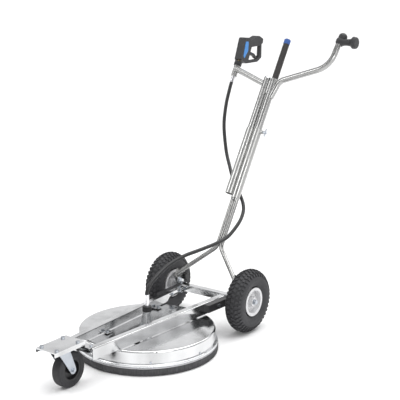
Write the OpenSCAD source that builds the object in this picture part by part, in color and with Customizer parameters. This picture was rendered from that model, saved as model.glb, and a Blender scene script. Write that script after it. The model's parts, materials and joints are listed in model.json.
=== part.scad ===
// Rotary surface cleaner for a pressure washer: a round stainless deck with a brush skirt, a
// spinning spray bar under it, a three-wheeled frame, and a tilting, telescopic handlebar that
// carries the trigger gun, a stored lance and the pressure hose. Millimetres, +Z up, -Y forwards.

/* [Deck] */
// Radius of the deck's side wall
deck_r = 265; // [255:1:268]
// Height of the deck's flat top above the ground
deck_top_z = 93; // [88:1:95]
// Thickness of the pressed deck sheet
deck_sheet = 2.5; // [2:0.5:3]
// Outer radius of the brush skirt
brush_r = 275; // [274.6:0.1:278]
// Gap under the bristles
brush_gap = 2; // [1:0.5:6]
// Number of screws round the side wall
rim_screw_count = 8; // [4:1:16]

/* [Frame] */
// Height of the frame beams' top faces
beam_top_z = 142; // [142:1:146]
// Height of a beam's folded web
beam_web_h = 45; // [38:1:45]
// Width of a beam's top flange
beam_flange_w = 25; // [18:1:30]
// Half distance between the beams' outer faces at the front
beam_front_x = 73; // [72:0.5:74]
// Half distance between the beams' outer faces at the axle
beam_rear_x = 116; // [115.5:0.1:116.5]
// Folded sheet thickness of the frame
frame_sheet = 3; // [2:0.5:3]
// Height of the raised front plate over the castor
front_plate_z = 168; // [166:1:170]

/* [Wheels] */
// Outer radius of the pneumatic tyres
tyre_r = 130; // [128:1:130]
// Width of the pneumatic tyres
tyre_w = 82; // [76:1:84]
// Half track, centre line to wheel centre
half_track = 204; // [203:1:210]
// Radius of the castor wheel
castor_r = 66; // [60:1:67]
// Distance from the castor's swivel axis to its axle
castor_trail = 38; // [34:1:42]

/* [Handle] */
// Lean of the handle back from upright
lean = 31.9; // [28:0.1:34]
// Radius of the handlebar's bent arms
tube_r = 12.5; // [11:0.5:13]
// Radius of the fork's two bent tubes
fork_r = 9.2; // [8.6:0.1:9.2]
// Radius of the two sliding upper tubes
slider_r = 15.5; // [15:0.1:16]
// Radius of the two fixed sleeves
sleeve_r = 18.5; // [18:0.1:19]

/* [Spray rotor] */
// Radius at which the nozzles turn
spray_r = 225; // [200:1:235]
// Height of the spray bar's axis
spray_z = 66; // [62:1:68]

/* [Hidden] */
$fn = 64;
fit = 0.05;          // radial clearance of running fits
slack = 0.3;         // clearance of loose holes and of faces that pass each other
eps = 0.5;           // cutters reach this far past the faces they open

// The deck's centre seen from the origin, which lies under the middle of the machine
deck_x = -38.5;
deck_y = -263.9;

// Deck and brush
corner_r = 8;
deck_wall_z = 31;
holder_leg_top = 58;
holder_flange = 3;
holder_leg = 2.5;
rim_screw_z = 50;
rim_screw_r = 2.5;
brush_top_z = deck_wall_z - holder_flange;
hub_hole_r = 16;

// Frame
bend_r = 5;
beam_front_y = -390;
beam_rear_y = 361.8;
bend_dy = 774;
beam_turn = atan2(beam_rear_x - beam_front_x, bend_dy);
spacer_at = [240, 570];
spacer_in = 14;
tab_reach = 26;
front_channel_y0 = -398;
front_channel_y1 = -368;
front_channel_x = 66;
front_channel_h = 15;
plate_half_w = 47;
plate_y0 = -550;
plate_y1 = -399;
castor_y = -478;
castor_bolt_x = 36;
castor_bolt_y = 52.5;
axle_y = 391;
axle_z = tyre_r;
axle_r = 8.5;
arm_w = 25;
arm_h = 30;
arm_z1 = 139;
arm_y0 = 225;
arm_y1 = 412;
channel_y0 = 362;
channel_y1 = 390;
channel_z1 = 145;
channel_drop = 28;

// Tilt axis of the handle
pivot_y = 378;
pivot_z = 158;
ear_x0 = 132;
ear_x1 = 138;
foot_x0 = ear_x1 + slack;
foot_x1 = foot_x0 + 6;
knob_arm = 30;
knob_angle = 20;
tilt_each_way = 20;
knob_r = 16;

// Handle, measured up the tubes from the tilt axis
plane_y = -19;
tube_x = 18.3;
fork_gap = 9.3;
fork_z = 165;
plug_top = 413;
left_sleeve_z0 = 401;
right_sleeve_z0 = 383;
sleeve_z1 = 701;
slider_z0 = 600;
slider_z1 = 938;
slider_bore = slider_r - 2;
clamp_z = 690;
grip_z = 1138;
gun_x = -200;
gun_z = 974;
gun_y = 5;
left_arm = [[-tube_x, 909.3], [gun_x, gun_z]];
right_arm = [[27, 850], [45, 931], [262, 1017], [272, grip_z]];

// Swivel on the deck
housing_z1 = 150;
core_r = 17;
bearing_r = 14;
bearing_h = 8;
shaft_r = 6;
bearing_at = [98, 124];
spigot_r = 9;
nut_z0 = 154;
nut_z1 = 170;
nut_r = 18;
ferrule_z1 = 221;
ferrule_r = 9;

// Castor
fork_top_z = 152;
fork_leg_x = 21.5;
fork_sheet = 3;
kingpin_r = 6;

// Hose
hose_r = 7.5;
hose_route = [[0, 0, 200], [0, 0, 210], [0, 0, 221.5], [0, 1.5, 231], [1, 19, 256],
    [3, 66, 284], [9, 133, 312], [20, 209, 328],
    [34, 296, 335], [48, 380, 343], [60, 433, 350], [66, 460, 364], [68, 493, 384],
    [66, 532, 410], [58, 570, 440], [44, 588, 465], [24, 602, 490], [-5, 617, 519],
    [-55, 652, 555], [-100, 691, 600], [-140, 722, 658], [-175, 755, 760], [-190, 791, 844],
    [-198, 825, 900], on_gun(-76), on_gun(-66.5), on_gun(-55), on_gun(-44)];
hose_steps = 3;
hose_sides = 10;

// Trigger gun, seen from its side: y towards the operator, z up the barrel
gun_half = 18;
grip_tilt = 38;
barrel_r = 7.5;
inlet_r = 9;
inlet_end = 104;
body_outline = [[-11, 41, 6], [33, 45, 5], [44, 57, 8], [34, 128, 6], [94, 168, 8], [105, 188, 8],
    [96, 204, 8], [61, 199, 8], [17, 151, 5], [-10, 152, 12], [-31, 140, 10]];
guard_outer = [[97, 180, 2], [113, 182, 6], [143, 132, 12], [124, 100, 16], [39, 47, 4], [36, 70, 4]];
guard_inner = [[92, 171, 2], [105, 170, 4], [125, 132, 8], [111, 106, 10], [54, 70, 6], [40, 120, 6],
    [82, 162, 2]];
insert_outline = [[-4, 64, 3], [8, 58, 3], [16, 100, 8], [-2, 137, 5], [-21, 126, 5]];
trigger_outline = [[24, 97, 4], [42, 97, 5], [84, 108, 6], [105, 107, 4], [110, 115, 4], [84, 120, 6],
    [44, 112, 6], [24, 112, 4]];
trigger_pin = [31, 104.5];
lock_pin = [66, 112];
lock_outline = [[62.5, 109, 1.5], [69, 108.5, 1.5], [93, 119, 1.5], [92, 123.5, 2], [63, 116, 2]];

// A point on the gun's axis, seen from the deck's centre
function on_gun(z) = [gun_x, pivot_y + (gun_z + z) * sin(lean) + (plane_y + gun_y) * cos(lean),
    pivot_z + (gun_z + z) * cos(lean) - (plane_y + gun_y) * sin(lean)];
module at_deck() { translate([deck_x, deck_y, 0]) children(); }
module at_pivot() { at_deck() translate([0, pivot_y, pivot_z]) rotate([-lean, 0, 0]) children(); }
module at_tubes() { at_pivot() translate([0, plane_y, 0]) children(); }
module at_gun() { at_tubes() translate([gun_x, gun_y, gun_z]) children(); }
module both_sides() { children(); mirror([1, 0, 0]) children(); }
// Along a frame beam on the right-hand side: x outwards from its web, y backwards along it
module at_beam() { translate([beam_front_x, beam_front_y, 0]) rotate([0, 0, -beam_turn]) children(); }
module ring(r_out, r_in, h) {
    difference() {
        cylinder(r = r_out, h = h);
        translate([0, 0, -eps]) cylinder(r = r_in, h = h + 2 * eps);
    }
}
// A cylinder along +X, and a tube along +X
module rod_x(r, h) { rotate([0, 90, 0]) cylinder(r = r, h = h); }
module ring_x(r_out, r_in, h) { rotate([0, 90, 0]) ring(r_out, r_in, h); }
// A hexagon across its flats, as a nut or a bolt head
module hexagon(flats, h) { cylinder(r = flats / sqrt(3), h = h, $fn = 6); }
module hexagon_x(flats, h) { rotate([0, 90, 0]) hexagon(flats, h); }
// A slab between two values of x, its outline drawn in y and z
module slab_x(x0, x1) { translate([x0, 0, 0]) rotate([90, 0, 90]) linear_extrude(x1 - x0) children(); }
// A bolt standing down from a face at z = 0, through a stack to the nut's seat
module bolt(r, stack) {
    hexagon(3.2 * r, 1.3 * r);
    translate([0, 0, -stack - 2.2 * r]) cylinder(r = r, h = stack + 2.2 * r + 0.1);
    translate([0, 0, -stack - 1.6 * r]) hexagon(3.2 * r, 1.6 * r);
}
// A round rod between two points
module rod_between(a, b, r) {
    v = b - a;
    translate(a) rotate([0, acos(v[2] / norm(v)), atan2(v[1], v[0])]) cylinder(r = r, h = norm(v));
}

function unit(v) = v / norm(v);
function turn_of(a, b, c) = let (u = unit(b - a), v = unit(c - b))
    atan2(u[0] * v[1] - u[1] * v[0], u[0] * v[0] + u[1] * v[1]);
function wrapped(a) = a > 180 ? a - 360 : a < -180 ? a + 360 : a;
// One corner of an outline, rounded to r
function corner(a, b, c, r) = let (
        u = unit(a - b), v = unit(c - b), half = acos(u * v) / 2,
        centre = b + unit(u + v) * r / sin(half),
        s = b + u * r / tan(half) - centre, e = b + v * r / tan(half) - centre,
        a0 = atan2(s[1], s[0]), sweep = wrapped(atan2(e[1], e[0]) - a0))
    [for (k = [0:6]) centre + r * [cos(a0 + sweep * k / 6), sin(a0 + sweep * k / 6)]];
function flat(p) = [p[0], p[1]];
// An outline with each corner [x, y, radius] rounded
function rounded(p) = let (n = len(p))
    [for (i = [0:n - 1]) each corner(flat(p[(i + n - 1) % n]), flat(p[i]), flat(p[(i + 1) % n]), p[i][2])];

// A round bar bent in the XY plane along its corner points, each corner rounded to its own radius.
// The straights run a little way into the bends, which are a hair thinner, so that they join cleanly.
module bent_bar(points, bends, r) {
    last = len(points) - 1;
    lap = 2;
    turns = [for (i = [0:last]) i == 0 || i == last ? 0
        : turn_of(points[i - 1], points[i], points[i + 1])];
    trims = [for (i = [0:last]) turns[i] == 0 ? 0 : bends[i] * tan(abs(turns[i]) / 2) - lap];
    for (i = [0:last - 1]) {
        way = unit(points[i + 1] - points[i]);
        from = points[i] + way * trims[i];
        span = norm(points[i + 1] - points[i]) - trims[i] - trims[i + 1];
        translate([from[0], from[1], 0]) rotate([0, 0, atan2(way[1], way[0])]) rod_x(r, span);
    }
    for (i = [1:1:last - 1]) {
        way = unit(points[i] - points[i - 1]);
        side = turns[i] > 0 ? 1 : -1;
        start = points[i] - way * (trims[i] + lap);
        centre = start + [-way[1], way[0]] * bends[i] * side;
        heading = atan2(way[1], way[0]) - 90 * side;
        translate([centre[0], centre[1], 0])
            rotate([0, 0, side > 0 ? heading : heading + turns[i]])
            rotate_extrude(angle = abs(turns[i])) translate([bends[i], 0]) circle(r = r - 0.25);
    }
}
// The same bar standing in the XZ plane
module upright_bar(points, bends, r) { rotate([90, 0, 0]) bent_bar(points, bends, r); }

// ---- Deck ----
module pan_section(r, top, c) {
    square([r - c, top]);
    square([r, top - c]);
    translate([r - c, top - c]) circle(r = c);
}
module deck_shell() {
    color("Gainsboro") at_deck() difference() {
        rotate_extrude($fn = 128) difference() {
            intersection() {
                pan_section(deck_r, deck_top_z, corner_r);
                translate([hub_hole_r, deck_wall_z]) square([deck_r, deck_top_z]);
            }
            pan_section(deck_r - deck_sheet, deck_top_z - deck_sheet, corner_r - deck_sheet);
        }
        at_rim_screws() rod_x(rim_screw_r + 0.2, 12);
        at_spacers() translate([0, 0, deck_top_z - 6]) cylinder(r = 4.2, h = 12);
        at_housing_bolts() translate([0, 0, deck_top_z - 6]) cylinder(r = 2.7, h = 12);
    }
}
module at_rim_screws() {
    for (i = [0:rim_screw_count - 1])
        rotate([0, 0, -3 + 360 / rim_screw_count * i]) translate([deck_r - 8, 0, rim_screw_z]) children();
}
module at_spacers() {
    both_sides() for (y = spacer_at) at_beam() translate([-spacer_in, y, 0]) children();
}
module at_housing_bolts() {
    for (i = [0:5]) rotate([0, 0, 30 + 60 * i]) translate([23.5, 0, 0]) children();
}
module rim_band() {
    color("Silver") at_deck() rotate_extrude($fn = 128) difference() {
        union() {
            translate([deck_r + 0.1, deck_wall_z]) square([5, 13]);
            translate([deck_r + 4, deck_wall_z + 4]) square([4, 5]);
            translate([deck_r + 4, deck_wall_z + 4]) circle(r = 4);
            translate([deck_r + 4, deck_wall_z + 9]) circle(r = 4);
        }
        translate([deck_r - 5, deck_wall_z]) square([5.1, 20]);
    }
}
module rim_screws() {
    color("Silver") at_deck() at_rim_screws() {
        translate([8, 0, 0]) rod_x(4.5, 2);
        translate([-2, 0, 0]) rod_x(rim_screw_r, 10.5);
        translate([-0.3, 0, 0]) hexagon_x(8, 2.6);
    }
}
module brush_holder() {
    inner = deck_r - deck_sheet;
    color("DimGray") at_deck() difference() {
        rotate_extrude($fn = 128) {
            translate([inner - holder_leg, brush_top_z]) square([holder_leg, holder_leg_top - brush_top_z]);
            translate([inner - holder_leg, brush_top_z]) square([deck_r + 7 - inner + holder_leg, holder_flange]);
        }
        at_rim_screws() rod_x(rim_screw_r + 0.2, 12);
    }
}
module brush_ring() {
    color("DarkSlateGray") at_deck() difference() {
        rotate_extrude($fn = 128)
            polygon([[brush_r - 14, brush_top_z], [brush_r - 11, brush_gap], [brush_r - 1.5, brush_gap],
                [brush_r, brush_gap + 3], [brush_r - 0.6, brush_top_z]]);
        translate([-0.6, -brush_r - 5, 0]) cube([1.2, 30, 40]);
    }
}

// ---- Frame ----
module angle_section() {
    translate([-beam_flange_w, -frame_sheet]) square([beam_flange_w - bend_r, frame_sheet]);
    translate([-frame_sheet, -beam_web_h]) square([frame_sheet, beam_web_h - bend_r]);
    translate([-bend_r, -bend_r]) intersection() {
        difference() {
            circle(r = bend_r);
            circle(r = bend_r - frame_sheet);
        }
        square(bend_r);
    }
}
function foot_z() = beam_top_z - beam_web_h;
module beam() {
    span = 790;
    rise_at = 640;
    difference() {
        at_beam() difference() {
            union() {
                translate([0, span, beam_top_z]) rotate([90, 0, 0]) linear_extrude(span) angle_section();
                // Feet turned in from the web's lower edge
                for (y = spacer_at) translate([-tab_reach, y - 15, foot_z()]) cube([tab_reach - 0.5, 30, frame_sheet]);
            }
            // The web is cut up behind the deck's edge
            slab_x(-frame_sheet - eps, eps)
                polygon([[rise_at, 80], [rise_at, beam_top_z - beam_web_h], [rise_at + 12, beam_top_z - beam_web_h + 3],
                    [rise_at + 28, beam_top_z - beam_web_h + 18], [rise_at + 40, beam_top_z - beam_web_h + 21],
                    [span + 5, beam_top_z - beam_web_h + 21], [span + 5, 80]]);
            for (y = spacer_at) translate([-spacer_in, y, foot_z() - 10]) cylinder(r = 4.2, h = 20);
            for (y = [680, 735]) translate([-10, y, arm_z1 - arm_h / 2]) rod_x(4.2, 20);
        }
        translate([0, beam_rear_y, 0]) cube([200, 100, 200]);
        translate([0, beam_front_y - 50, 0]) cube([200, 50, 200]);
        at_foot_bolts() translate([0, 0, 100]) cylinder(r = 3.2, h = 60);
    }
}
module beam_right() { color("Gainsboro") at_deck() beam(); }
module beam_left() { color("Gainsboro") at_deck() mirror([1, 0, 0]) beam(); }
module deck_spacers() {
    color("DimGray") at_deck() at_spacers() translate([0, 0, deck_top_z])
        ring(11.5, 4.2, foot_z() - deck_top_z);
}
module at_foot_bolts() {
    for (x = [-57, 57]) translate([x, (front_channel_y0 + front_channel_y1) / 2 + 2, 0]) children();
}
module front_channel() {
    top = beam_top_z - frame_sheet;
    color("Gainsboro") at_deck() difference() {
        translate([-front_channel_x, front_channel_y0, top - front_channel_h])
            cube([2 * front_channel_x, front_channel_y1 - front_channel_y0, front_channel_h]);
        translate([-front_channel_x - eps, front_channel_y0 - eps, top - front_channel_h + frame_sheet])
            cube([2 * front_channel_x + 2 * eps, front_channel_y1 - front_channel_y0 + eps - frame_sheet,
                front_channel_h - 2 * frame_sheet]);
        at_foot_bolts() translate([0, 0, 100]) cylinder(r = 3.2, h = 60);
    }
}
module front_bracket() {
    side_h = 16;
    color("Gainsboro") at_deck() difference() {
        union() {
            translate([-plate_half_w, plate_y0, front_plate_z - frame_sheet])
                cube([2 * plate_half_w, plate_y1 - plate_y0, frame_sheet]);
            both_sides() translate([plate_half_w - frame_sheet, plate_y0, front_plate_z - side_h])
                cube([frame_sheet, plate_y1 - plate_y0, side_h]);
            translate([-plate_half_w, plate_y1 - frame_sheet, beam_top_z])
                cube([2 * plate_half_w, frame_sheet, front_plate_z - beam_top_z]);
            translate([-66, plate_y1 - frame_sheet, beam_top_z])
                cube([132, front_channel_y1 - plate_y1 + frame_sheet, frame_sheet]);
        }
        at_castor_bolts() translate([0, 0, front_plate_z - 10]) cylinder(r = 4.2, h = 20);
        at_foot_bolts() translate([0, 0, beam_top_z - 10]) cylinder(r = 3.2, h = 20);
    }
}
module at_castor_bolts() {
    for (x = [-castor_bolt_x, castor_bolt_x], y = [-castor_bolt_y, castor_bolt_y])
        translate([x, castor_y + y, 0]) children();
}
module castor_top_plate() {
    under = front_plate_z - frame_sheet;
    color("Silver") at_deck() difference() {
        union() {
            translate([-43, castor_y - 62, under - 3]) cube([86, 124, 3]);
            translate([0, castor_y, fork_top_z + 1]) cylinder(r = 24, h = under - 3 - fork_top_z - 1 + 0.1);
            translate([0, castor_y, fork_top_z - 9]) cylinder(r = kingpin_r, h = 15);
            translate([0, castor_y, fork_top_z - 13]) cylinder(r = 10, h = 4);
        }
        at_castor_bolts() translate([0, 0, under - 8]) cylinder(r = 4.2, h = 20);
    }
}
module axle_channel() {
    lower_x = 114;
    color("Gainsboro") at_deck() difference() {
        union() {
            translate([-ear_x0 + slack, channel_y0, channel_z1 - frame_sheet])
                cube([2 * (ear_x0 - slack), channel_y1 - channel_y0, frame_sheet]);
            for (y = [channel_y0, channel_y1 - frame_sheet])
                translate([-lower_x, y, channel_z1 - channel_drop]) cube([2 * lower_x, frame_sheet, channel_drop]);
        }
        at_channel_bolts() translate([0, 0, channel_z1 - 10]) cylinder(r = 3.2, h = 20);
    }
}
module at_channel_bolts() {
    both_sides() translate([123, (channel_y0 + channel_y1) / 2, 0]) children();
}
module axle_arm() {
    difference() {
        at_beam() translate([0, arm_y0 - beam_front_y, arm_z1 - arm_h]) cube([arm_w, arm_y1 - arm_y0, arm_h]);
        translate([90, axle_y, axle_z]) rod_x(axle_r + 0.02, 80);
        at_channel_bolts() translate([0, 0, 100]) cylinder(r = 3.2, h = 60);
        at_beam() for (y = [680, 735]) translate([-10, y, arm_z1 - arm_h / 2]) rod_x(4.2, 60);
    }
}
module axle_arm_right() { color("DimGray") at_deck() axle_arm(); }
module axle_arm_left() { color("DimGray") at_deck() mirror([1, 0, 0]) axle_arm(); }
module axle_stubs() {
    color("Silver") at_deck() both_sides() translate([0, axle_y, axle_z]) {
        translate([119, 0, 0]) rod_x(axle_r, 243 - 119);
        translate([143.6, 0, 0]) rod_x(13, half_track - 32.5 - 143.6);
    }
}
module axle_nuts() {
    color("Silver") at_deck() both_sides() translate([half_track + 32.5, axle_y, axle_z]) difference() {
        union() {
            rod_x(11, 1.5);
            translate([1.4, 0, 0]) hexagon_x(18, 8);
        }
        translate([-eps, 0, 0]) rod_x(axle_r + 0.02, 7);
    }
}
function polar(r, a) = [r * cos(a), r * sin(a)];
module handle_ears() {
    a0 = knob_angle - tilt_each_way;
    a1 = knob_angle + tilt_each_way;
    color("Silver") at_deck() both_sides() difference() {
        union() {
            slab_x(ear_x0, ear_x1) {
                translate([pivot_y, pivot_z]) circle(r = 15);
                translate([pivot_y, pivot_z])
                    polygon(concat([[0, 0]], [for (k = [0:12]) polar(41, a0 - 8 + (a1 - a0 + 16) * k / 12)]));
                translate([363, arm_z1]) square([42, pivot_z - arm_z1]);
            }
            translate([ear_x0 - 17, channel_y0, arm_z1]) cube([19, 43, frame_sheet]);
        }
        translate([ear_x0 - eps, pivot_y, pivot_z]) rod_x(6.02, 10);
        slab_x(ear_x0 - eps, ear_x1 + eps) translate([pivot_y, pivot_z]) {
            difference() {
                polygon(concat([for (k = [0:12]) polar(knob_arm + 4.6, a0 + (a1 - a0) * k / 12)],
                    [for (k = [12:-1:0]) polar(knob_arm - 4.6, a0 + (a1 - a0) * k / 12)]));
            }
            for (a = [a0, a1]) translate(polar(knob_arm, a)) circle(r = 4.6);
        }
        at_channel_bolts() translate([0, 0, 120]) cylinder(r = 3.2, h = 60);
    }
}
module pivot_bolts() {
    color("Silver") at_deck() both_sides() translate([0, pivot_y, pivot_z]) {
        translate([ear_x0 - 5, 0, 0]) hexagon_x(17, 5);
        translate([ear_x0 - 1, 0, 0]) rod_x(6, foot_x1 - ear_x0 + 6);
        translate([foot_x1 + slack, 0, 0]) hexagon_x(17, 7);
    }
}
module frame_bolts() {
    color("Silver") at_deck() {
        at_spacers() translate([0, 0, foot_z() + frame_sheet]) bolt(4, foot_z() + frame_sheet - deck_top_z + deck_sheet);
        at_foot_bolts() translate([0, 0, beam_top_z + frame_sheet]) bolt(3, 3 * frame_sheet);
        at_castor_bolts() translate([0, 0, front_plate_z]) bolt(4, frame_sheet + 3);
        at_channel_bolts() translate([0, 0, channel_z1]) bolt(3, 2 * frame_sheet + arm_h);
        both_sides() at_beam() for (y = [680, 735])
            translate([arm_w, y, arm_z1 - arm_h / 2]) rotate([0, 90, 0]) bolt(4, arm_w + frame_sheet);
        at_housing_bolts() translate([0, 0, 98]) {
            cylinder(r = 4, h = 2.5);
            translate([0, 0, -9.5]) cylinder(r = 2.5, h = 10);
            translate([0, 0, -9.6]) hexagon(7, 2.1);
        }
    }
}

// ---- Swivel ----
module swivel_housing() {
    color("Silver") at_deck() difference() {
        union() {
            translate([0, 0, deck_top_z]) cylinder(r = 28, h = 5);
            translate([0, 0, deck_top_z - 4]) cylinder(r = hub_hole_r - 0.1, h = 5);
            translate([0, 0, deck_top_z]) cylinder(r = core_r, h = housing_z1 - deck_top_z);
            for (i = [0:5]) rotate([0, 0, 60 * i]) translate([0, 2, deck_top_z + 4]) rotate([90, 0, 0])
                linear_extrude(4) polygon([[12, 0], [27.5, 0], [core_r + 0.5, housing_z1 - deck_top_z - 8], [12, 40]]);
        }
        translate([0, 0, deck_top_z - 10]) cylinder(r = shaft_r + 1.5, h = 80);
        translate([0, 0, bearing_at[0]]) cylinder(r = bearing_r + 0.02, h = bearing_at[1] + bearing_h - bearing_at[0]);
        translate([0, 0, 138]) cylinder(r = 11.02, h = 20);
        at_housing_bolts() translate([0, 0, 80]) cylinder(r = 2.7, h = 30);
        at_housing_bolts() translate([0, 0, 98]) cylinder(r = 4.3, h = 12);
    }
}
module swivel_bearings() {
    color("SteelBlue") at_deck() for (z = bearing_at) translate([0, 0, z]) ring(bearing_r, shaft_r + fit, bearing_h);
}
module shaft_seal() {
    color("Black") at_deck() translate([0, 0, 138]) ring(11, shaft_r + fit, 5);
}
module swivel_inlet() {
    color("Silver") at_deck() difference() {
        union() {
            translate([0, 0, 143.2]) cylinder(r = 11, h = housing_z1 - 143.2);
            translate([0, 0, housing_z1]) cylinder(r = 13, h = 3);
            translate([0, 0, 146]) cylinder(r = spigot_r, h = nut_z1 - 146);
        }
        translate([0, 0, 140]) cylinder(r = 4, h = 40);
    }
}
module swivel_nut() {
    color("DimGray") at_deck() difference() {
        translate([0, 0, nut_z0]) cylinder(r = nut_r, h = nut_z1 - nut_z0 + 4);
        translate([0, 0, nut_z0 - eps]) cylinder(r = spigot_r + 0.02, h = nut_z1 - nut_z0 + eps + 0.02);
        translate([0, 0, nut_z1 - eps]) cylinder(r = ferrule_r - 2 + 0.02, h = 6);
        for (i = [0:23]) rotate([0, 0, 15 * i]) translate([nut_r + 0.6, 0, nut_z0 - eps]) cylinder(r = 1.4, h = 21);
    }
}
module hose_ferrule_lower() {
    color("Gainsboro") at_deck() difference() {
        union() {
            translate([0, 0, nut_z1 + 0.05]) cylinder(r = ferrule_r - 2, h = 6);
            translate([0, 0, nut_z1 + 4.1]) cylinder(r = ferrule_r, h = ferrule_z1 - nut_z1 - 4.1);
        }
        translate([0, 0, nut_z1 - 2]) cylinder(r = 4, h = 40);
        translate([0, 0, 199]) cylinder(r = hose_r + 0.15, h = 40);
    }
}

// ---- Spray rotor ----
module rotor_shaft() {
    color("Silver") at_deck() difference() {
        translate([0, 0, spray_z + 2]) cylinder(r = shaft_r, h = 142 - spray_z - 2);
        translate([0, 0, spray_z]) cylinder(r = 2.5, h = 100);
    }
}
module rotor_hub() {
    color("Silver") at_deck() difference() {
        union() {
            translate([0, 0, spray_z - 12]) cylinder(r = 20, h = 28);
            translate([0, 0, spray_z + 16 - 0.1]) cylinder(r = 11, h = 4);
        }
        translate([0, 0, spray_z + 2]) cylinder(r = shaft_r + 0.02, h = 40);
        translate([0, 0, spray_z - 2]) cylinder(r = 2.5, h = 40);
        both_sides() translate([0, 0, spray_z]) rod_x(2.5, 30);
        both_sides() translate([12, 0, spray_z]) rod_x(7.02, 30);
    }
}
module spray_arms() {
    color("Silver") at_deck() both_sides() translate([12.1, 0, spray_z]) ring_x(7, 4, spray_r - 12.1 - 10);
}
module nozzle_holders() {
    color("Goldenrod") at_deck() both_sides() difference() {
        union() {
            translate([spray_r, 0, spray_z - 14]) cylinder(r = 11, h = 24);
            translate([spray_r - 16, 0, spray_z]) rod_x(10, 12);
        }
        translate([spray_r - 20, 0, spray_z]) rod_x(7.02, 10.05);
        translate([spray_r - 20, 0, spray_z]) rod_x(3, 20);
        translate([spray_r, 0, spray_z - 20]) cylinder(r = 3, h = 24);
    }
}
module nozzle_tips() {
    color("Silver") at_deck() both_sides() translate([spray_r, 0, spray_z - 22]) difference() {
        union() {
            hexagon(14, 8);
            cylinder(r = 2.98, h = 14);
        }
        translate([0, 0, -eps]) cylinder(r = 1, h = 20);
    }
}

// ---- Castor ----
module castor_fork() {
    ay = castor_y + castor_trail;
    az = castor_r;
    color("Silver") at_deck() difference() {
        union() {
            translate([0, castor_y, fork_top_z - 9]) cylinder(r = 29, h = 3);
            translate([0, castor_y, fork_top_z - 6.1]) cylinder(r = 27, h = 6.1);
            both_sides() slab_x(fork_leg_x, fork_leg_x + fork_sheet) {
                polygon([[castor_y - 24, fork_top_z - 6], [castor_y - 24, fork_top_z - 16], [ay - 14, az - 4],
                    [ay + 8, az - 12], [ay + 14, az + 4], [castor_y + 28, fork_top_z - 16],
                    [castor_y + 28, fork_top_z - 6]]);
                translate([ay, az]) circle(r = 14.6);
            }
            translate([-fork_leg_x - fork_sheet, castor_y - 24, fork_top_z - 9])
                cube([2 * fork_leg_x + 2 * fork_sheet, 52, 3]);
        }
        translate([0, castor_y, fork_top_z - 20]) cylinder(r = kingpin_r + fit, h = 40);
        translate([0, castor_y, fork_top_z - 7.4]) cylinder(r = 10, h = 3);
        both_sides() translate([10, ay, az]) rod_x(5.02, 30);
    }
}
module castor_axle() {
    color("Silver") at_deck() translate([0, castor_y + castor_trail, castor_r]) {
        out = fork_leg_x + fork_sheet;
        translate([-out - 4, 0, 0]) rod_x(5, 2 * out + 12);
        translate([-out - 5, 0, 0]) hexagon_x(15, 5);
        translate([out, 0, 0]) hexagon_x(15, 6);
    }
}
module castor_tyre() {
    color("DarkSlateGray") at_deck() translate([0, castor_y + castor_trail, castor_r]) rotate([0, 90, 0])
        rotate_extrude() difference() {
            union() {
                translate([44, -19]) square([castor_r - 44 - 6, 38]);
                translate([44, -13]) square([castor_r - 44, 26]);
                for (x = [-13, 13]) translate([castor_r - 6, x]) circle(r = 6);
            }
            translate([40, -12]) square([6, 24]);
        }
}
module castor_hub() {
    color("DimGray") at_deck() translate([0, castor_y + castor_trail, castor_r]) rotate([0, 90, 0])
        rotate_extrude() difference() {
            union() {
                translate([5 + fit, -20.6]) square([10, 41.2]);
                translate([5 + fit, -4]) square([36, 8]);
                translate([36, -18]) square([7.9, 36]);
                translate([40, -11.9]) square([5.9, 23.8]);
            }
            translate([0, -30]) square([5 + fit, 60]);
        }
}

// ---- Road wheels ----
module at_wheel() { at_deck() translate([half_track, axle_y, axle_z]) children(); }
module at_left_wheel() { at_deck() mirror([1, 0, 0]) translate([half_track, axle_y, axle_z]) children(); }
module wheel_tyre() {
    half = tyre_w / 2;
    mid = tyre_r - half;
    rotate([0, 90, 0]) rotate_extrude($fn = 96) difference() {
        translate([mid, 0]) circle(r = half);
        translate([mid, 0]) circle(r = half - 7);
        translate([0, -half]) square([50.6, 2 * half]);
        translate([0, -16]) square([70, 32]);
        for (x = [-11, 11]) translate([tyre_r - 4, x - 1.5]) square([10, 3]);
    }
}
module wheel_rim() {
    rotate([0, 90, 0]) rotate_extrude($fn = 96) {
        translate([47, -31.5]) square([3.5, 63]);
        for (x = [-31.5, 29]) translate([47, x]) square([11.6, 2.5]);
        translate([14 + fit, -32]) square([5, 64]);
        polygon([[17, 8], [30, 14], [48, 6], [48, 9.5], [30, 17.5], [17, 11.5]]);
    }
}
module tyre_right() { color("DarkSlateGray") at_wheel() wheel_tyre(); }
module tyre_left() { color("DarkSlateGray") at_left_wheel() wheel_tyre(); }
module rim_right() { color("WhiteSmoke") at_wheel() wheel_rim(); }
module rim_left() { color("WhiteSmoke") at_left_wheel() wheel_rim(); }
module wheel_bearings() {
    color("SteelBlue") at_deck() both_sides() translate([half_track, axle_y, axle_z])
        for (x = [-31.5, 20.5]) translate([x, 0, 0]) ring_x(14, axle_r + 0.02, 11);
}

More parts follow.
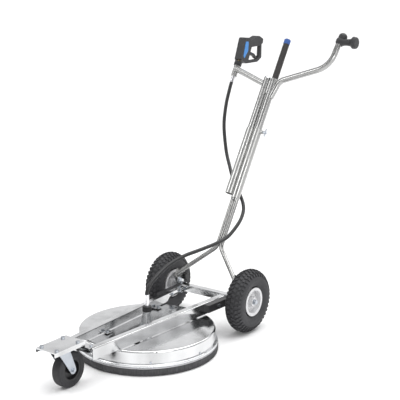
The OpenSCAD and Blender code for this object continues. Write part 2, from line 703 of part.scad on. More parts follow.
// ---- Handle ----
// A foot of the fork, from the tilt axis and the knob's hole to where its tube is welded on
module foot_plate(weld) {
    knob_at = polar(knob_arm, knob_angle + lean);
    circle(r = 14);
    translate(knob_at) circle(r = 11);
    polygon(concat([[-14, 0], [14, 0], [knob_at[0] + 9, knob_at[1] - 6], [knob_at[0] + 6, knob_at[1] + 9]], weld));
}
module handle_fork() {
    knob_at = polar(knob_arm, knob_angle + lean);
    near = [[tube_x + fork_gap, right_sleeve_z0], [tube_x + fork_gap, fork_z], [155, 31.7]];
    far = [[tube_x - fork_gap, right_sleeve_z0], [tube_x - fork_gap, fork_z], [-155, 6.4]];
    color("Gainsboro") at_pivot() {
        difference() {
            union() {
                translate([0, plane_y, 0]) difference() {
                    union() {
                        upright_bar(near, [0, 40, 0], fork_r);
                        upright_bar(far, [0, 40, 0], fork_r);
                    }
                    for (x = [foot_x1 - 1, 1 - foot_x1 - 40]) translate([x, -30, 0]) cube([40, 60, 100]);
                }
                translate([tube_x - 3, plane_y - 3, 200]) cube([6, 6, right_sleeve_z0 - 202]);
                translate([tube_x, plane_y, right_sleeve_z0 - 8]) cylinder(r = slider_r, h = plug_top - right_sleeve_z0 + 8);
                slab_x(foot_x0, foot_x1) foot_plate([[8, 60], [-9, 64], [-29.5, 64], [-29.5, 31]]);
                mirror([1, 0, 0]) slab_x(foot_x0, foot_x1) foot_plate([[4, 36], [-9, 38], [-29.5, 38], [-29.5, 5]]);
            }
            both_sides() translate([foot_x0 - 20, 0, 0]) rod_x(6 + fit, 40);
            both_sides() translate([foot_x0 - 2, knob_at[0], knob_at[1]]) rod_x(4 + fit, 20);
        }
    }
}
module handle_sleeves() {
    color("Gainsboro") at_tubes() difference() {
        union() {
            translate([-tube_x, 0, left_sleeve_z0]) cylinder(r = sleeve_r, h = sleeve_z1 - left_sleeve_z0);
            translate([tube_x, 0, right_sleeve_z0]) cylinder(r = sleeve_r, h = sleeve_z1 - right_sleeve_z0);
            translate([tube_x + 8, 0, clamp_z]) rod_x(8, 20);
        }
        translate([-tube_x, 0, left_sleeve_z0 - eps]) cylinder(r = slider_r + fit, h = 400);
        translate([tube_x, 0, right_sleeve_z0 - eps]) cylinder(r = slider_r + fit, h = 400);
        translate([tube_x + 10, 0, clamp_z]) rod_x(4 + fit, 40);
    }
}
module star_knob() {
    ky = pivot_y + knob_arm * cos(knob_angle);
    kz = pivot_z + knob_arm * sin(knob_angle);
    translate([0, ky, kz]) {
        difference() {
            translate([ear_x0 - 19, 0, 0]) rod_x(knob_r, 18);
            for (a = [30:60:330]) rotate([a, 0, 0]) translate([ear_x0 - 20, 0, knob_r + 3]) rod_x(6.5, 21);
        }
        translate([ear_x0 - 2, 0, 0]) rod_x(4, foot_x1 - ear_x0 + 4);
    }
}
module star_knob_right() { color("DimGray") at_deck() star_knob(); }
module star_knob_left() { color("DimGray") at_deck() mirror([1, 0, 0]) star_knob(); }
module clamp_screw() {
    color("Silver") at_tubes() translate([tube_x, 0, clamp_z]) {
        translate([slider_r + slack, 0, 0]) rod_x(4, 30);
        translate([slider_r + 18, 0, 0]) rod_x(7, 10);
        translate([slider_r + 25, 0, -17]) cylinder(r = 3, h = 34);
    }
}
module handlebar() {
    color("Gainsboro") at_tubes() difference() {
        union() {
            both_sides() translate([tube_x, 0, slider_z0]) cylinder(r = slider_r, h = slider_z1 - slider_z0);
            translate([-8, -4, 870]) cube([16, 8, 60]);
            upright_bar(left_arm, [0, 0], tube_r);
            upright_bar(right_arm, [0, 40, 90, 0], tube_r);
        }
        both_sides() translate([tube_x, 0, slider_z0 - eps]) cylinder(r = slider_bore, h = 500);
        translate([gun_x, gun_y, gun_z - 60]) cylinder(r = 13 + 0.02, h = 120);
    }
}
module gun_pipe() {
    color("Gainsboro") at_gun() difference() {
        union() {
            translate([0, 0, -32]) cylinder(r = 13, h = 47);
            translate([0, 0, -36]) hexagon(22, 8);
            translate([0, 0, 10]) cylinder(r = 8, h = 26);
        }
        translate([0, 0, -60]) cylinder(r = 4, h = 120);
    }
}
module hose_ferrule_upper() {
    color("Gainsboro") at_gun() difference() {
        translate([0, 0, -66]) cylinder(r = ferrule_r, h = 29.9);
        translate([0, 0, -70]) cylinder(r = hose_r + 0.15, h = 27);
        translate([0, 0, -50]) cylinder(r = 4, h = 30);
    }
}
module gun_nut() {
    color("DimGray") at_gun() difference() {
        translate([0, 0, 17]) cylinder(r = 17, h = 19);
        translate([0, 0, 16]) cylinder(r = 8.02, h = 30);
        for (i = [0:23]) rotate([0, 0, 15 * i]) translate([17.6, 0, 16]) cylinder(r = 1.4, h = 22);
    }
}
module side_grip() {
    color("DimGray") at_tubes() translate([262, 3, grip_z]) difference() {
        union() {
            translate([0, 0, -4]) rotate([0, 90, 0]) rotate_extrude() polygon(rounded([[0, -4, 0.1], [13, -4, 5], [21, 3, 6], [20, 16, 5],
                [14.5, 30, 10], [13.5, 46, 30], [16, 64, 10], [26, 73, 6], [24, 90, 6], [0, 90, 0.1]]));
            // Round cap over the end of the tube
            translate([17, 0, 18]) sphere(r = 19);
        }
        translate([10, -3, 0]) rotate([0, atan2(10, grip_z - 1017) + 180, 0])
            translate([0, 0, -2]) cylinder(r = tube_r + 0.02, h = 60);
    }
}
module tube_cap() {
    color("DimGray") at_tubes() translate([-tube_x, 0, slider_z1]) {
        difference() {
            translate([0, 0, -3]) sphere(r = slider_r + 0.5);
            translate([0, 0, -30]) cylinder(r = 30, h = 30);
        }
        translate([0, 0, -12]) cylinder(r = slider_bore - 0.02, h = 13);
    }
}

// ---- Trigger gun ----
module gun_shell() {
    difference() {
        slab_x(0.02, gun_half) polygon(rounded(body_outline));
        gun_cavity();
        slab_x(-eps, 7.6) polygon([[15, 88], [60, 88], [60, 130], [15, 124]]);
        slab_x(gun_half - 3, gun_half + eps) polygon(rounded(insert_outline));
    }
    difference() {
        slab_x(0.02, 8) polygon(rounded(guard_outer));
        slab_x(-eps, 9) polygon(rounded(guard_inner));
        slab_x(-eps, 9) polygon(rounded(body_outline));
    }
    // Half of the pin that the trigger turns on
    translate([0.02, trigger_pin[0], trigger_pin[1]]) rod_x(3, 8.5);
}
module gun_cavity() {
    translate([0, 0, 30]) cylinder(r = barrel_r + 0.02, h = 106.02);
    translate([0, 4, 128]) rotate([-(90 - grip_tilt), 0, 0]) translate([0, 0, -9]) cylinder(r = inlet_r + 0.02, h = 140);
}
module gun_shell_right() { color("DimGray") at_gun() gun_shell(); }
module gun_shell_left() { color("DimGray") at_gun() mirror([1, 0, 0]) gun_shell(); }
module gun_inserts() {
    color("RoyalBlue") at_gun() both_sides() slab_x(gun_half - 3, gun_half + 1) polygon(rounded(insert_outline));
}
module gun_valve() {
    color("Goldenrod") at_gun() difference() {
        union() {
            translate([0, 0, 36.1]) cylinder(r = barrel_r, h = 99.8);
            translate([0, 4, 128]) rotate([-(90 - grip_tilt), 0, 0]) cylinder(r = inlet_r, h = inlet_end);
        }
        translate([0, 0, 30]) cylinder(r = 4, h = 98);
        translate([0, 4, 128]) rotate([-(90 - grip_tilt), 0, 0]) {
            cylinder(r = 4, h = 140);
            translate([0, 0, inlet_end - 16]) cylinder(r = 7.5, h = 40);
        }
    }
}
module trigger() {
    color("Black") at_gun() difference() {
        slab_x(-7, 7) polygon(rounded(trigger_outline));
        slab_x(-3.3, 3.3) polygon([[59.5, 106], [72, 106.5], [100, 117], [100, 130], [59.5, 130]]);
        translate([-10, trigger_pin[0], trigger_pin[1]]) rod_x(3 + fit, 20);
        translate([-10, lock_pin[0], lock_pin[1]]) rod_x(2 + fit, 20);
    }
}
module trigger_lock() {
    color("RoyalBlue") at_gun() {
        slab_x(-3, 3) polygon(rounded(lock_outline));
        translate([-6.5, lock_pin[0], lock_pin[1]]) rod_x(2, 13);
    }
}

// ---- Lance ----
module lance_grip() {
    color("DimGray") at_tubes() translate([tube_x, 0, slider_z1 + 0.1]) difference() {
        union() {
            cylinder(r = 13, h = 168);
            for (i = [0:19]) translate([0, 0, 6 + 8 * i]) cylinder(r = 13.6, h = 4);
        }
        translate([0, 0, -eps]) cylinder(r = 6.52, h = 160);
    }
}
module lance_cap() {
    color("RoyalBlue") at_tubes() translate([tube_x, 0, slider_z1 + 168.15]) {
        cylinder(r = 14.5, h = 20);
        translate([0, 0, 19.9]) cylinder(r = 12, h = 3);
    }
}
module lance_tube() {
    color("Silver") at_tubes() translate([tube_x, 0, slider_z0 + 25]) difference() {
        union() {
            cylinder(r = 6.5, h = slider_z1 + 140 - slider_z0 - 25);
            cylinder(r = 9, h = 30);
            for (z = [80, 300]) translate([0, 0, z]) cylinder(r = slider_bore - slack, h = 8);
        }
        translate([0, 0, -eps]) cylinder(r = 3, h = 440);
    }
}

// ---- Hose ----
function bez(p0, p1, p2, p3, t) = 0.5 * (2 * p1 + (p2 - p0) * t + (2 * p0 - 5 * p1 + 4 * p2 - p3) * t * t
    + (3 * p1 - p0 - 3 * p2 + p3) * t * t * t);
function line_points(p) = let (n = len(p) - 1) concat([for (i = [0:n - 1], k = [0:hose_steps - 1])
    bez(p[max(i - 1, 0)], p[i], p[i + 1], p[min(i + 2, n)], k / hose_steps)], [p[n]]);
module hose() {
    line = line_points(hose_route);
    n = len(line) - 1;
    m = hose_sides;
    rims = [for (i = [0:n]) let (w = unit(line[min(i + 1, n)] - line[max(i - 1, 0)]),
        u = unit(cross(w, [1, 0, 0])), v = cross(w, u))
        each [for (j = [0:m - 1]) line[i] + hose_r * (cos(360 * j / m) * u + sin(360 * j / m) * v)]];
    sides = [for (i = [0:n - 1], j = [0:m - 1]) let (a = i * m + j, b = i * m + (j + 1) % m)
        each [[a, a + m, b + m], [a, b + m, b]]];
    color("Black") at_deck() polyhedron(points = rims,
        faces = concat(sides, [[for (j = [0:m - 1]) j]], [[for (j = [m - 1:-1:0]) n * m + j]]));
}

deck_shell();
rim_band();
rim_screws();
brush_holder();
brush_ring();
beam_left();
beam_right();
deck_spacers();
front_channel();
front_bracket();
castor_top_plate();
axle_channel();
axle_arm_left();
axle_arm_right();
axle_stubs();
axle_nuts();
handle_ears();
pivot_bolts();
frame_bolts();
swivel_housing();
swivel_bearings();
shaft_seal();
swivel_inlet();
swivel_nut();
hose_ferrule_lower();
rotor_shaft();
rotor_hub();
spray_arms();
nozzle_holders();
nozzle_tips();
castor_fork();
castor_axle();
castor_tyre();
castor_hub();
tyre_left();
rim_left();
tyre_right();
rim_right();
wheel_bearings();
handle_fork();
handle_sleeves();
star_knob_left();
star_knob_right();
clamp_screw();
handlebar();
gun_pipe();
hose_ferrule_upper();
gun_nut();
side_grip();
tube_cap();
gun_shell_left();
gun_shell_right();
gun_inserts();
gun_valve();
trigger();
trigger_lock();
lance_grip();
lance_cap();
lance_tube();
hose();
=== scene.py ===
import json
import math
import bpy
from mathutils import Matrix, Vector


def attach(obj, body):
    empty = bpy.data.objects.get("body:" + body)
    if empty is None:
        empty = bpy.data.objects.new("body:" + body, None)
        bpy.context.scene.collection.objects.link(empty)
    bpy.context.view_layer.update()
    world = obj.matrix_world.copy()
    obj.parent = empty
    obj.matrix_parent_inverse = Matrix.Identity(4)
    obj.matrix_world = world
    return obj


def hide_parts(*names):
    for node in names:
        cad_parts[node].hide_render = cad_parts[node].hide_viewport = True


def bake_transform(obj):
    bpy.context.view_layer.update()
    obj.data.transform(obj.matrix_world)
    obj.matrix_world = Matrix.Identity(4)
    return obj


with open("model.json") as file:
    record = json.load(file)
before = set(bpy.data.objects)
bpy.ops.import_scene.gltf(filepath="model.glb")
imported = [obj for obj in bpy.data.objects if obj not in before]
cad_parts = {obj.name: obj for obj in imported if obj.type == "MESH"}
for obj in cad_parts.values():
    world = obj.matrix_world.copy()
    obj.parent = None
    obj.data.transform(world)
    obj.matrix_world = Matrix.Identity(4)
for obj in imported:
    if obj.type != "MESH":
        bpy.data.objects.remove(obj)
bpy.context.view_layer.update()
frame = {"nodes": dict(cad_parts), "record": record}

TAU = 2 * math.pi

# ---------------------------------------------------------------- frame of the machine
# Sizes are in millimetres, and points are from the deck's centre on the floor
DECK = (-38.5, -263.9)           # the deck's centre in the row frame
LEAN = math.radians(31.9)        # the handle's lean at rest
PIVOT = (378.0, 158.0)           # the handle's tilt axis, y and z
TUBE_Y = -19                     # the tubes' plane beside that axis
GUN = (-200, 5, 974)             # the gun's frame within the tubes' one
AXLE_Y, AXLE_Z, HALF_TRACK = 391, 130, 204


def deck(x, y, z):
    """A point given from the deck's centre in millimetres, in the row frame in metres."""
    return Vector(((x + DECK[0]) / 1000, (y + DECK[1]) / 1000, z / 1000))


def tubes(x, y, z):
    """A point given in the handle's tube frame in millimetres, in the row frame in metres."""
    c, s = math.cos(LEAN), math.sin(LEAN)
    y = y + TUBE_Y
    return deck(x, PIVOT[0] + c * y + s * z, PIVOT[1] - s * y + c * z)


def gun(x, y, z):
    """A point given in the trigger gun's frame in millimetres, in the row frame in metres."""
    return tubes(x + GUN[0], y + GUN[1], z + GUN[2])


# ---------------------------------------------------------------- camera
def make_camera():
    """The photograph's viewing angle: from the right of the front, a little above the handle."""
    cam = bpy.data.cameras.new("camera")
    cam.lens = 92.6
    cam.sensor_width = 36
    cam.clip_end = 60
    ob = bpy.data.objects.new("camera", cam)
    bpy.context.scene.collection.objects.link(ob)
    ob.location = deck(2398.5, -2891.2, 1501.7)
    ob.rotation_euler = (math.radians(90 - 13.605), 0, math.radians(36.568))
    bpy.context.scene.camera = ob


make_camera()


# ---------------------------------------------------------------- materials
class Graph:
    """A small helper that adds nodes and links to one material."""

    def __init__(self, name):
        self.mat = bpy.data.materials.new(name)
        self.mat.use_nodes = True
        self.nt = self.mat.node_tree
        self.bsdf = self.nt.nodes["Principled BSDF"]
        self.coords = self.nt.nodes.new("ShaderNodeTexCoord").outputs["Object"]

    def node(self, kind, **props):
        n = self.nt.nodes.new(kind)
        for k, v in props.items():
            setattr(n, k, v)
        return n

    def link(self, a, b):
        self.nt.links.new(a, b)

    def noise(self, scale, detail=3, rough=0.5, stretch=None):
        n = self.node("ShaderNodeTexNoise")
        n.inputs["Scale"].default_value = scale
        n.inputs["Detail"].default_value = detail
        n.inputs["Roughness"].default_value = rough
        src = self.coords
        if stretch:
            m = self.node("ShaderNodeMapping")
            m.inputs["Scale"].default_value = stretch
            self.link(src, m.inputs["Vector"])
            src = m.outputs["Vector"]
        self.link(src, n.inputs["Vector"])
        return n.outputs["Fac"]

    def ramp(self, fac, stops):
        r = self.node("ShaderNodeValToRGB")
        e = r.color_ramp.elements
        while len(e) < len(stops):
            e.new(0.5)
        for el, (pos, col) in zip(e, stops):
            el.position = pos
            el.color = (*col, 1)
        self.link(fac, r.inputs["Fac"])
        return r.outputs["Color"]

    def span(self, fac, lo, hi):
        """Maps the middle of a noise's range, 0.3 to 0.7, to lo to hi."""
        m = self.node("ShaderNodeMapRange")
        m.inputs["From Min"].default_value = 0.3
        m.inputs["From Max"].default_value = 0.7
        m.inputs["To Min"].default_value = lo
        m.inputs["To Max"].default_value = hi
        self.link(fac, m.inputs["Value"])
        return m.outputs["Result"]

    def bump(self, height, distance, strength, base=None):
        b = self.node("ShaderNodeBump")
        b.inputs["Strength"].default_value = strength
        b.inputs["Distance"].default_value = distance
        self.link(height, b.inputs["Height"])
        if base is not None:
            self.link(base, b.inputs["Normal"])
        return b.outputs["Normal"]


def scaled(col, k):
    return tuple(min(1, c * k) for c in col)


def metal(name, col, rough, spread=0.04, streak=(1, 1, 1), streak_scale=60, relief=0.00002,
          tone=0.05, bands=None):
    """Metal with streaked polish marks, faint smudges in its gloss, a little uneven tone and, if bands are
    given, broad painted reflection stripes in its colour.
    """
    g = Graph(name)
    g.bsdf.inputs["Metallic"].default_value = 1
    smudge = g.noise(14, 4, 0.6)
    fine = g.noise(streak_scale, 5, 0.6, streak)
    shade = g.ramp(smudge, [(0.3, scaled(col, 1 - tone)), (0.7, scaled(col, 1 + tone / 2))])
    # Bands: broad light and dark upright stripes multiplied into the colour, a painted reflection of the
    # surroundings
    if bands:
        scale, stretch, reflection_dark = bands
        wide = g.ramp(g.noise(scale, 2, 0.5, stretch),
                      [(0.36, (reflection_dark, reflection_dark, reflection_dark)), (0.5, (0.92, 0.92, 0.92)), (0.62, (1, 1, 1))])
        mix = g.node("ShaderNodeMix", data_type="RGBA", blend_type="MULTIPLY")
        mix.inputs["Factor"].default_value = 1
        g.link(shade, mix.inputs["A"])
        g.link(wide, mix.inputs["B"])
        shade = mix.outputs["Result"]
    g.link(shade, g.bsdf.inputs["Base Color"])
    mixed = g.node("ShaderNodeMath", operation="MULTIPLY")
    g.link(g.span(smudge, 0.8, 1.2), mixed.inputs[0])
    g.link(g.span(fine, max(rough - spread, 0.01), rough + spread), mixed.inputs[1])
    g.link(mixed.outputs[0], g.bsdf.inputs["Roughness"])
    wave = g.noise(5, 2, 0.4)
    n = g.bump(fine, relief, 0.5)
    g.link(g.bump(wave, 0.0004, 0.25, n), g.bsdf.inputs["Normal"])
    return g.mat


def plastic(name, col, rough, grain=1800, relief=0.00012, tone=0.25):
    """Moulded plastic or rubber with a fine grain, scuffs and slight colour variation."""
    g = Graph(name)
    patch = g.noise(9, 4, 0.6)
    scuff = g.noise(160, 6, 0.75)
    fine = g.noise(grain, 2, 0.5)
    g.link(g.ramp(patch, [(0.25, scaled(col, 1 - tone)), (0.75, scaled(col, 1 + tone))]),
           g.bsdf.inputs["Base Color"])
    g.link(g.span(scuff, rough - 0.08, min(rough + 0.12, 1)), g.bsdf.inputs["Roughness"])
    n = g.bump(fine, relief, 0.6)
    g.link(g.bump(scuff, relief, 0.3, n), g.bsdf.inputs["Normal"])
    return g.mat


def bristle_material():
    """Dense nylon bristles: vertical strands of slightly different greys."""
    g = Graph("bristle")
    strands = g.noise(900, 2, 0.6, (1, 1, 0.03))
    clumps = g.noise(120, 3, 0.6, (1, 1, 0.1))
    g.link(g.ramp(strands, [(0.3, (0.02, 0.02, 0.022)), (0.55, (0.06, 0.06, 0.064)),
                            (0.8, (0.13, 0.13, 0.135))]), g.bsdf.inputs["Base Color"])
    g.link(g.span(clumps, 0.55, 0.8), g.bsdf.inputs["Roughness"])
    g.link(g.bump(strands, 0.0008, 0.9), g.bsdf.inputs["Normal"])
    return g.mat


def painted(name, col, rough, tone=0.04):
    """Sprayed paint with a soft orange-peel surface."""
    g = Graph(name)
    patch = g.noise(12, 3)
    peel = g.noise(420, 2, 0.4)
    g.link(g.ramp(patch, [(0.3, scaled(col, 1 - tone)), (0.7, scaled(col, 1 + tone))]),
           g.bsdf.inputs["Base Color"])
    g.link(g.span(patch, rough - 0.04, rough + 0.06), g.bsdf.inputs["Roughness"])
    g.bsdf.inputs["Coat Weight"].default_value = 0.3
    g.bsdf.inputs["Coat Roughness"].default_value = 0.15
    g.link(g.bump(peel, 0.00008, 0.5), g.bsdf.inputs["Normal"])
    return g.mat


M = {
    # The deck's steel carries painted reflection bands in its colour
    "polished_steel": metal("polished_steel", (0.74, 0.745, 0.75), 0.14, 0.04, (1, 1, 1), 40,
                            bands=(8, (1, 1, 0.12), 0.74)),
    "tube_steel": metal("tube_steel", (0.40, 0.40, 0.395), 0.27, 0.05, (1, 0.2, 0.1), 300),
    "fork_steel": metal("fork_steel", (0.31, 0.31, 0.305), 0.26, 0.05, (1, 0.2, 0.1), 300),
    "sleeve_steel": metal("sleeve_steel", (0.47, 0.47, 0.46), 0.34, 0.05, (1, 0.2, 0.1), 300),
    "satin_steel": metal("satin_steel", (0.72, 0.73, 0.74), 0.30, 0.06, (1, 1, 0.2), 400),
    "chrome": metal("chrome", (0.86, 0.86, 0.88), 0.08, 0.02, (1, 1, 0.2), 300),
    "zinc": metal("zinc", (0.50, 0.53, 0.57), 0.34, 0.07, (1, 1, 1), 90, tone=0.12),
    "black_bar": painted("black_bar", (0.022, 0.022, 0.024), 0.42, 0.2),
    "bearing_steel": metal("bearing_steel", (0.6, 0.6, 0.62), 0.22),
    "brass": metal("brass", (0.78, 0.60, 0.30), 0.25, 0.05, (1, 1, 0.3), 300),
    "nozzle_steel": metal("nozzle_steel", (0.7, 0.7, 0.71), 0.25),
    "bristle": bristle_material(),
    "aluminium": metal("aluminium", (0.68, 0.68, 0.70), 0.35),
    "black_plastic": plastic("black_plastic", (0.016, 0.016, 0.017), 0.42),
    "gun_plastic": plastic("gun_plastic", (0.022, 0.022, 0.024), 0.5, 1500, 0.0002),
    "trigger_plastic": plastic("trigger_plastic", (0.012, 0.012, 0.012), 0.35),
    "blue_plastic": plastic("blue_plastic", (0.03, 0.09, 0.30), 0.42, tone=0.1),
    "bright_blue": plastic("bright_blue", (0.05, 0.22, 0.55), 0.4, tone=0.12),
    "grip_rubber": plastic("grip_rubber", (0.030, 0.027, 0.026), 0.62, 1200, 0.0002),
    "hose_rubber": plastic("hose_rubber", (0.014, 0.014, 0.015), 0.38, 2500, 0.0001),
    "tyre": plastic("tyre", (0.034, 0.034, 0.037), 0.66, 700, 0.0004),
    "castor_rubber": plastic("castor_rubber", (0.016, 0.016, 0.018), 0.55, 900, 0.0002),
    "rim_paint": painted("rim_paint", (0.62, 0.62, 0.63), 0.32),
}


def finish_node(name, mat):
    slots = frame["nodes"][name].data.materials
    slots.clear()
    slots.append(M[mat])


for part in frame["record"]["subparts"]:
    finish_node(part["node"], part["material_slot"])
# Pieces whose finish is darker or brighter than their slot's
for name, mat in (("handlebar", "tube_steel"), ("gun_pipe", "tube_steel"), ("gun_inserts", "bright_blue"),
                  ("handle_sleeves", "sleeve_steel"), ("handle_fork", "fork_steel")):
    finish_node(name, mat)


# ---------------------------------------------------------------- mesh builders
def make(name, verts, faces, mat, body, replaces=(), auto=40):
    """A mesh object with its material, its body and the CAD nodes that it stands for."""
    me = bpy.data.meshes.new(name)
    me.from_pydata([tuple(v) for v in verts], [], faces)
    me.validate()
    me.update()
    ob = bpy.data.objects.new(name, me)
    bpy.context.scene.collection.objects.link(ob)
    me.materials.append(M[mat])
    me.polygons.foreach_set("use_smooth", [True] * len(me.polygons))
    me.set_sharp_from_angle(angle=math.radians(auto))
    if body:
        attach(ob, body)
    if replaces:
        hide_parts(*replaces)
    return ob


def sweep(points, radius, sides):
    """Verts and faces of a round, closed tube along a list of points, carried without twist."""
    verts, faces = [], []
    n = len(points)
    prev = None
    for i, p in enumerate(points):
        t = (points[min(i + 1, n - 1)] - points[max(i - 1, 0)]).normalized()
        if prev is None:
            u = t.orthogonal().normalized()
        else:
            u = (prev - t * prev.dot(t)).normalized()
        prev = u
        v = t.cross(u)
        for k in range(sides):
            a = TAU * k / sides
            verts.append(p + radius * (math.cos(a) * u + math.sin(a) * v))
    for i in range(n - 1):
        for k in range(sides):
            a, b = i * sides + k, i * sides + (k + 1) % sides
            faces.append((a, b, b + sides, a + sides))
    faces.append(tuple(range(sides - 1, -1, -1)))
    faces.append(tuple((n - 1) * sides + k for k in range(sides)))
    return verts, faces


def catmull(points, steps):
    """Points along a smooth curve that passes through the given ones."""
    out = []
    n = len(points) - 1
    for i in range(n):
        p0, p1, p2, p3 = points[max(i - 1, 0)], points[i], points[i + 1], points[min(i + 2, n)]
        for k in range(steps):
            t = k / steps
            out.append(0.5 * (2 * p1 + (p2 - p0) * t + (2 * p0 - 5 * p1 + 4 * p2 - p3) * t * t
                              + (3 * p1 - p0 - 3 * p2 + p3) * t * t * t))
    out.append(points[-1])
    return out


# ---------------------------------------------------------------- hose
# From the swivel's ferrule, over the frame and past the handle, up to the gun's frame
ROUTE = [(0, 0, 200), (0, 0, 210), (0, 0, 221.5), (0, 1.5, 231), (1, 19, 256), (3, 66, 284), (9, 133, 312),
         (20, 209, 328), (34, 296, 335), (48, 380, 343), (61, 433, 355), (67, 463, 370), (70, 496, 391),
         (68, 534, 416), (58, 568, 443), (44, 588, 465), (24, 602, 490), (-5, 617, 519), (-55, 652, 555),
         (-100, 691, 600), (-140, 722, 658), (-175, 755, 760), (-190, 791, 844), (-198, 825, 900)]
HOSE_R = 0.0075
CURVE_STEPS = 8
HANDOVER = 17 * CURVE_STEPS      # where the hose passes the handle
FERRULE = 2 * CURVE_STEPS        # curve points held straight in each ferrule


def length_of(path):
    return sum((b - a).length for a, b in zip(path, path[1:]))


def make_hose():
    line = catmull([deck(*p) for p in ROUTE] + [gun(0, 0, z) for z in (-76, -66.5, -55, -44)],
                   CURVE_STEPS)
    low, high = line[:HANDOVER + 1], line[HANDOVER:]
    for name, path, bodies, start, end in (
            ("hose_lower", low, ("chassis", "handle"), low[FERRULE], low[-1]),
            ("hose_upper", high, ("handle", "upper_handle"), high[0], high[-FERRULE - 1])):
        v, f = sweep(path, HOSE_R, 20)
        ob = make(name, v, f, "hose_rubber", None)
        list(bodies)
        tuple(start)
        tuple(end)
        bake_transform(ob)
        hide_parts("hose")
        tuple(path[0])
        length_of(path)
        [tuple(p) for p in path]


make_hose()


# ---------------------------------------------------------------- turned pieces
def ring_faces(rings, count, flip=False):
    """Quads round a closed loop of rings that have count points each."""
    faces = []
    for i in range(rings):
        this, after = i * count, (i + 1) % rings * count
        for k in range(count):
            m = (k + 1) % count
            a, b, c, d = this + k, this + m, after + m, after + k
            faces.append((a, d, c, b) if flip else (a, b, c, d))
    return faces


def lathe(profile, segments, place):
    """Rings of a closed profile [(radius, along)], turned about the axis that place() maps."""
    verts = [place(r, TAU * i / segments, s) for i in range(segments) for r, s in profile]
    return verts, ring_faces(segments, len(profile))


# ---------------------------------------------------------------- tyres
SECTION_AT = 89.0                # radius of the middle of a tyre's section
CARCASS, LINING = 36.0, 31.0     # the section's outer and inner radius
LUG_FOOT, LUG_TOP = 34.5, 41.0   # lugs' heights from there
LUG_COUNT = 40
# Each row of lugs: from and to across the section in degrees, shift and width in steps, slant
LUG_ROWS = ((3, 22, 0.0, 0.5, 0.3), (-22, -3, 0.5, 0.5, -0.3), (28, 44, 0.3, 0.5, -0.2),
            (-44, -28, 0.8, 0.5, 0.2), (49, 66, 0.05, 0.5, 0.0), (-66, -49, 0.55, 0.5, 0.0))


def wheel_place(side):
    """Maps a radius, an angle and a distance outward to a point on the wheel of that side."""
    def place(r, a, s):
        return deck(side * (HALF_TRACK + s), AXLE_Y + r * math.cos(a), AXLE_Z + r * math.sin(a))
    return place


def add(verts, faces, more):
    base = len(verts)
    verts.extend(more[0])
    faces.extend(tuple(base + i for i in f) for f in more[1])


def lug(place, a0, a1, p0, p1, skew):
    """One raised tread block between two angles round the wheel and two across its section."""
    nu, nv = 3, 3
    verts, faces = [], []
    for rad, shrink in ((LUG_FOOT, 1.06), (LUG_TOP - 0.6, 1.0), (LUG_TOP, 0.82)):
        for i in range(nu + 1):
            for j in range(nv + 1):
                u = (i / nu - 0.5) * shrink + 0.5
                v = (j / nv - 0.5) * shrink + 0.5
                ph = p0 + (p1 - p0) * v
                a = a0 + (a1 - a0) * u + skew * (v - 0.5)
                verts.append(place(SECTION_AT + rad * math.cos(ph), a, rad * math.sin(ph)))
    n = (nu + 1) * (nv + 1)

    def at(level, i, j):
        return level * n + i * (nv + 1) + j
    rim = ([(i, 0) for i in range(nu)] + [(nu, j) for j in range(nv)]
           + [(i, nv) for i in range(nu, 0, -1)] + [(0, j) for j in range(nv, 0, -1)])
    for level in (0, 1):
        for k in range(len(rim)):
            a, b = rim[k], rim[(k + 1) % len(rim)]
            faces.append((at(level, *a), at(level, *b), at(level + 1, *b), at(level + 1, *a)))
    for i in range(nu):
        for j in range(nv):
            faces.append((at(2, i, j), at(2, i + 1, j), at(2, i + 1, j + 1), at(2, i, j + 1)))
    return verts, faces


def make_tyre(name, side, body, node):
    """A tyre's carcass, with a bead line on its walls, and its rows of lugs."""
    place = wheel_place(side)
    section = []
    for k in range(49):
        ph = math.radians(-137 + 274 * k / 48)
        deg = abs(math.degrees(ph))
        rad = CARCASS if deg < 62 else CARCASS + 3.2 * min(1, (deg - 62) / 8)
        rad += 0.9 * max(0, 1 - abs(deg - 84) / 5) - 1.2 * max(0, min(1, (deg - 112) / 12))
        section.append((SECTION_AT + rad * math.cos(ph), rad * math.sin(ph)))
    for k in range(17):
        ph = math.radians(130 - 260 * k / 16)
        section.append((SECTION_AT + LINING * math.cos(ph), LINING * math.sin(ph)))
    verts, faces = lathe(section, 120, place)
    step = TAU / LUG_COUNT
    for lo, hi, phase, wide, skew in LUG_ROWS:
        for i in range(LUG_COUNT):
            a0 = (i + phase) * step
            add(verts, faces, lug(place, a0, a0 + wide * step, math.radians(lo), math.radians(hi),
                                  skew * step))
    ob = make(name, verts, faces, "tyre", body, (node,), auto=35)


make_tyre("tyre_tread_right", 1, "wheel_right", "tyre_right")
make_tyre("tyre_tread_left", -1, "wheel_left", "tyre_left")


# ---------------------------------------------------------------- brush
TUFTS = 1080
BRUSH_TOP = 28
# The ring's outline as heights and radii: down its outer face, then up its inner one
OUTER = [(BRUSH_TOP, 274.4), (22, 274.7), (14, 274.6), (7, 274.5), (3.5, 274.0), (2.0, 273.0)]
INNER = [(2.0, 265.0), (8, 264.2), (18, 262.4), (BRUSH_TOP, 261.2)]
GROOVE = 1.1                     # depth of the gap between two tufts


def hash01(i, j=0):
    """A fixed, random-looking number from 0 to 1."""
    v = math.sin(i * 12.9898 + j * 78.233) * 43758.5453
    return v - math.floor(v)


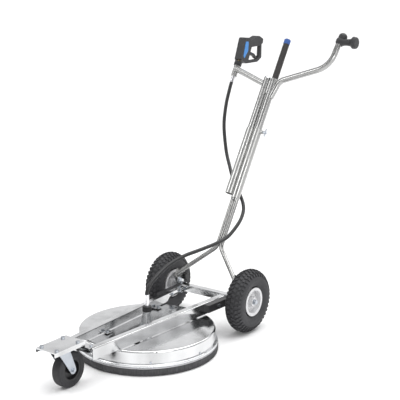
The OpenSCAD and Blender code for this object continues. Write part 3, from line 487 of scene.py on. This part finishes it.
def make_brush():
    """The ring of bristles: fine upright grooves with uneven tufts and tips."""
    prof = OUTER + INNER
    verts = []
    for i in range(TUFTS):
        a = TAU * i / TUFTS
        groove = 0.0 if i % 2 else GROOVE
        drift = 0.6 * hash01(i // 2)
        for k, (z, r) in enumerate(prof):
            cut = groove * (0.4 + 0.6 * min(1, (BRUSH_TOP - z) / 10))
            rr = r - cut - drift if k < len(OUTER) else r + cut
            zz = z + (0.9 * hash01(i // 2, 3) if z < 3 else 0)
            aa = a + (hash01(i // 2, k) - 0.5) * 0.0012 * (BRUSH_TOP - z) / 26
            verts.append(deck(rr * math.cos(aa), rr * math.sin(aa), zz))
    faces = ring_faces(TUFTS, len(prof), flip=True)
    ob = make("brush_bristles", verts, faces, "bristle", "chassis", ("brush_ring",), auto=60)


make_brush()


# ---------------------------------------------------------------- softened edges on the CAD pieces
def bevel(node, width):
    b = frame["nodes"][node].modifiers.new("edge", "BEVEL")
    b.width = width
    b.segments = 3
    b.limit_method = "ANGLE"
    b.angle_limit = math.radians(35)


def smooth(node):
    me = frame["nodes"][node].data
    me.polygons.foreach_set("use_smooth", [True] * len(me.polygons))
    me.set_sharp_from_angle(angle=math.radians(30))


for name, width in (("gun_shell_left", 0.0022), ("gun_shell_right", 0.0022), ("star_knob_left", 0.0018),
                    ("star_knob_right", 0.0018), ("front_bracket", 0.0008), ("axle_arm_left", 0.0015),
                    ("axle_arm_right", 0.0015), ("handle_ears", 0.0008), ("trigger", 0.0015),
                    ("gun_inserts", 0.001), ("castor_fork", 0.0008), ("lance_cap", 0.0015)):
    bevel(name, width)
for name in ("hose_ferrule_lower", "hose_ferrule_upper", "lance_grip", "side_grip", "castor_tyre"):
    smooth(name)


# ---------------------------------------------------------------- floor and light
def make_floor():
    g = Graph("studio_floor")
    g.bsdf.inputs["Roughness"].default_value = 0.7
    g.bsdf.inputs["Specular IOR Level"].default_value = 0.2
    g.link(g.ramp(g.noise(3, 3), [(0.3, (0.90, 0.90, 0.90)), (0.7, (0.93, 0.93, 0.93))]),
           g.bsdf.inputs["Base Color"])
    me = bpy.data.meshes.new("studio_floor")
    half, level = 120.0, -0.0005
    me.from_pydata([(-half, -half, level), (half, -half, level), (half, half, level), (-half, half, level)],
                   [], [(0, 1, 2, 3)])
    ob = bpy.data.objects.new("studio_floor", me)
    me.materials.append(g.mat)
    bpy.context.scene.collection.objects.link(ob)


def make_sky():
    """A pale sky with darker bands, uneven like a studio's walls, for the steel to reflect."""
    world = bpy.data.worlds.new("studio")
    bpy.context.scene.world = world
    world.use_nodes = True
    nt = world.node_tree
    bg = nt.nodes["Background"]
    tc = nt.nodes.new("ShaderNodeTexCoord")
    sep = nt.nodes.new("ShaderNodeSeparateXYZ")
    ramp = nt.nodes.new("ShaderNodeValToRGB")
    nt.links.new(tc.outputs["Generated"], sep.inputs[0])
    nt.links.new(sep.outputs["Z"], ramp.inputs["Fac"])
    e = ramp.color_ramp.elements
    e[0].position, e[0].color = 0.0, (0.85, 0.85, 0.855, 1)
    e[1].position, e[1].color = 1.0, (1.0, 1.0, 1.0, 1)
    for pos, v in ((0.08, 0.88), (0.40, 0.84), (0.50, 0.30), (0.66, 0.14), (0.78, 0.7), (0.88, 1.0)):
        n = e.new(pos)
        n.color = (v, v, v * 1.01, 1)
    cloud = nt.nodes.new("ShaderNodeTexNoise")
    cloud.inputs["Scale"].default_value = 1.6
    cloud.inputs["Detail"].default_value = 1
    nt.links.new(tc.outputs["Generated"], cloud.inputs["Vector"])
    spread = nt.nodes.new("ShaderNodeMapRange")
    spread.inputs["From Min"].default_value = 0.35
    spread.inputs["From Max"].default_value = 0.65
    spread.inputs["To Min"].default_value = 0.55
    spread.inputs["To Max"].default_value = 1.35
    nt.links.new(cloud.outputs["Fac"], spread.inputs["Value"])
    nt.links.new(spread.outputs["Result"], bg.inputs["Strength"])
    nt.links.new(ramp.outputs["Color"], bg.inputs["Color"])


def make_lights():
    sun = bpy.data.lights.new("sky_light", "SUN")
    sun.energy = 2.2
    sun.angle = math.radians(60)
    so = bpy.data.objects.new("sky_light", sun)
    bpy.context.scene.collection.objects.link(so)
    so.rotation_euler = (math.radians(-12), math.radians(10), 0)
    for name, loc, size, power in (("key", (-2.2, -2.4, 3.6), 1.6, 45),
                                   ("fill", (3.2, -1.2, 2.6), 1.2, 25),
                                   ("back", (0.5, 3.2, 3.2), 1.8, 30)):
        light = bpy.data.lights.new(name, "AREA")
        light.size = size
        light.energy = power
        lo = bpy.data.objects.new(name, light)
        bpy.context.scene.collection.objects.link(lo)
        lo.location = loc
        lo.rotation_euler = (Vector((0, 0, 0.4)) - Vector(loc)).to_track_quat("-Z", "Y").to_euler()


make_floor()
make_sky()
make_lights()
bpy.context.scene.view_settings.view_transform = "Standard"
